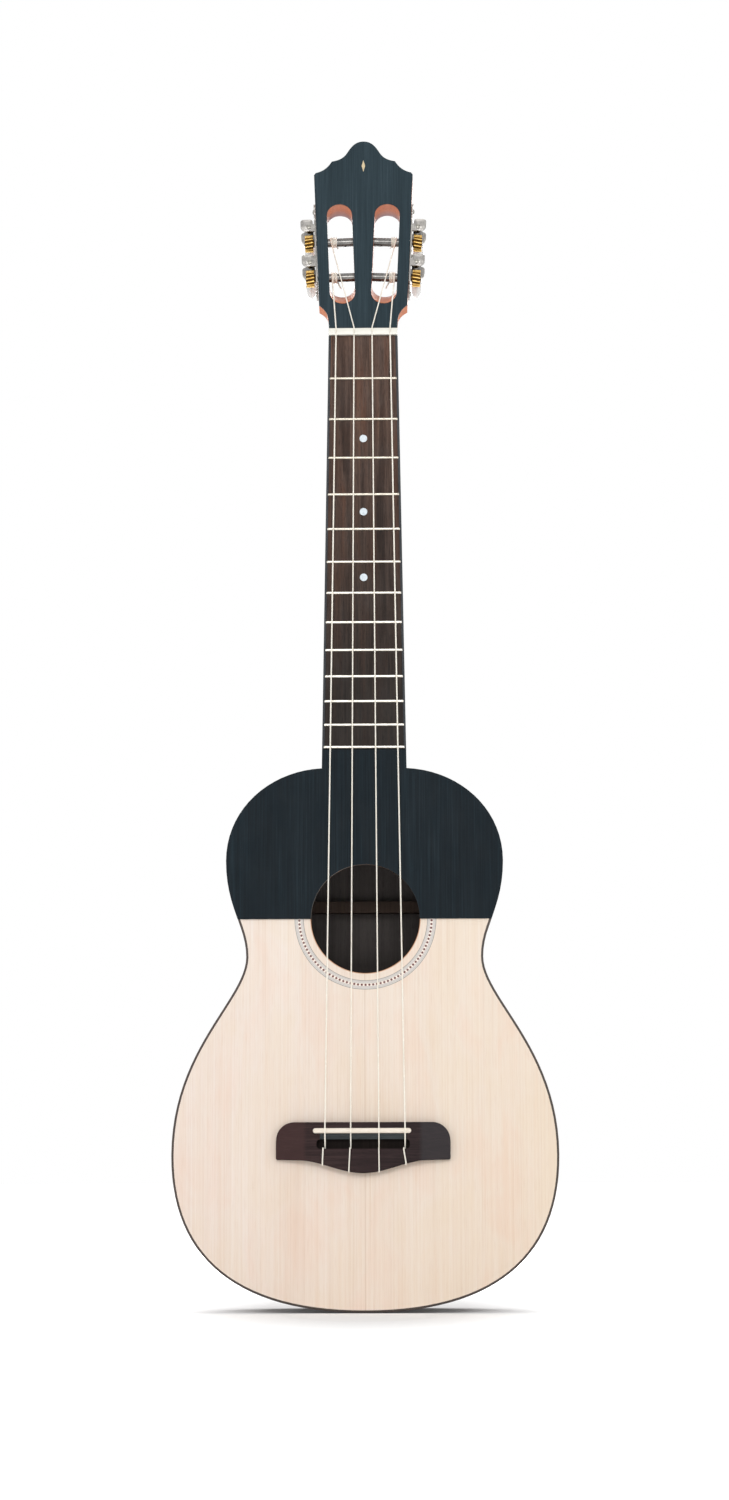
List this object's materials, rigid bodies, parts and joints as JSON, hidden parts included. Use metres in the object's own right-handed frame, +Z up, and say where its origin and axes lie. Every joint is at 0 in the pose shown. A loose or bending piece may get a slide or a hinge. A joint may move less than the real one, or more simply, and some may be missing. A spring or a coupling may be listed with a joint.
{
  "type": "cuatro",
  "caption": "Small guitar-shaped cuatro with a slotted head, nylon strings, a half-dark top plate and geared tuning machines that turn.",
  "frame": {"origin": "on the centre plane at the soundboard's front face, at the height where a hanger's fork carries the head, 17 mm above the nut's front edge", "axes": "+Z up along the neck towards the head, -Y out of the soundboard, +X towards the treble side, on the right of someone who looks at the front"},
  "size_m": [0.264, 0.0992, 0.8368],
  "materials": {
    "spruce": "satin",
    "dark_plate": "satin",
    "rosette": "satin",
    "body_wood": "satin",
    "binding": "satin",
    "inner_wood": "raw",
    "cedar": "satin",
    "rosewood": "oiled",
    "bridge_wood": "oiled",
    "fret_metal": "polished",
    "bone": "polished",
    "nylon": "clear and glossy",
    "nickel": "nickel-plated and polished",
    "brass": "polished",
    "steel": "dark and satin",
    "pearl": "pearly and glossy"
  },
  "bodies": {
    "root": {"soundboard": "spruce", "tap_plate": "dark_plate", "rosette": "rosette", "back": "body_wood", "side_treble": "body_wood", "side_bass": "body_wood", "top_binding": "binding", "back_binding": "binding", "top_lining": "inner_wood", "back_lining": "inner_wood", "neck_block": "inner_wood", "tail_block": "inner_wood", "upper_bar": "inner_wood", "lower_bar": "inner_wood", "fan_brace_treble": "inner_wood", "fan_brace_bass": "inner_wood", "upper_back_brace": "inner_wood", "lower_back_brace": "inner_wood", "neck": "cedar", "head": "cedar", "head_veneer": "dark_plate", "fretboard": "rosewood", "fret_01": "fret_metal", "fret_02": "fret_metal", "fret_03": "fret_metal", "fret_04": "fret_metal", "fret_05": "fret_metal", "fret_06": "fret_metal", "fret_07": "fret_metal", "fret_08": "fret_metal", "fret_09": "fret_metal", "fret_10": "fret_metal", "fret_11": "fret_metal", "fret_12": "fret_metal", "fret_13": "fret_metal", "nut": "bone", "bridge": "bridge_wood", "saddle": "bone", "string_1": "nylon", "string_2": "nylon", "string_3": "nylon", "string_4": "nylon", "tuner_plate_treble": "nickel", "tuner_plate_bass": "nickel"},
    "key_1": {"worm_1": "steel", "button_1": "pearl"},
    "key_2": {"worm_2": "steel", "button_2": "pearl"},
    "key_3": {"worm_3": "steel", "button_3": "pearl"},
    "key_4": {"worm_4": "steel", "button_4": "pearl"},
    "post_1": {"roller_1": "steel", "gear_1": "brass"},
    "post_2": {"roller_2": "steel", "gear_2": "brass"},
    "post_3": {"roller_3": "steel", "gear_3": "brass"},
    "post_4": {"roller_4": "steel", "gear_4": "brass"}
  },
  "joints": [
    {"name": "key_1_turn", "type": "hinge", "parent": "root", "child": "key_1", "pos_m": [0.03809, 0.01449, 0.04157], "axis": [0, 0.9659, -0.2588], "continuous": true},
    {"name": "key_2_turn", "type": "hinge", "parent": "root", "child": "key_2", "pos_m": [0.03921, 0.02205, 0.06975], "axis": [0, 0.9659, -0.2588], "continuous": true},
    {"name": "key_3_turn", "type": "hinge", "parent": "root", "child": "key_3", "pos_m": [-0.03921, 0.02205, 0.06975], "axis": [0, 0.9659, -0.2588], "continuous": true},
    {"name": "key_4_turn", "type": "hinge", "parent": "root", "child": "key_4", "pos_m": [-0.03809, 0.01449, 0.04157], "axis": [0, 0.9659, -0.2588], "continuous": true},
    {"name": "post_1_turn", "type": "hinge", "parent": "root", "child": "post_1", "pos_m": [0.03236, 0.02098, 0.031], "axis": [0.9993, -0.0099, -0.037], "continuous": true},
    {"name": "post_2_turn", "type": "hinge", "parent": "root", "child": "post_2", "pos_m": [0.03348, 0.02853, 0.05918], "axis": [0.9993, -0.0099, -0.037], "continuous": true},
    {"name": "post_3_turn", "type": "hinge", "parent": "root", "child": "post_3", "pos_m": [-0.03348, 0.02853, 0.05918], "axis": [-0.9993, -0.0099, -0.037], "continuous": true},
    {"name": "post_4_turn", "type": "hinge", "parent": "root", "child": "post_4", "pos_m": [-0.03236, 0.02098, 0.031], "axis": [-0.9993, -0.0099, -0.037], "continuous": true}
  ],
  "couplings": [
    {"joint": "post_1_turn", "follows": "key_1_turn", "ratio": 0.071429},
    {"joint": "post_2_turn", "follows": "key_2_turn", "ratio": 0.071429},
    {"joint": "post_3_turn", "follows": "key_3_turn", "ratio": 0.071429},
    {"joint": "post_4_turn", "follows": "key_4_turn", "ratio": 0.071429}
  ]
}
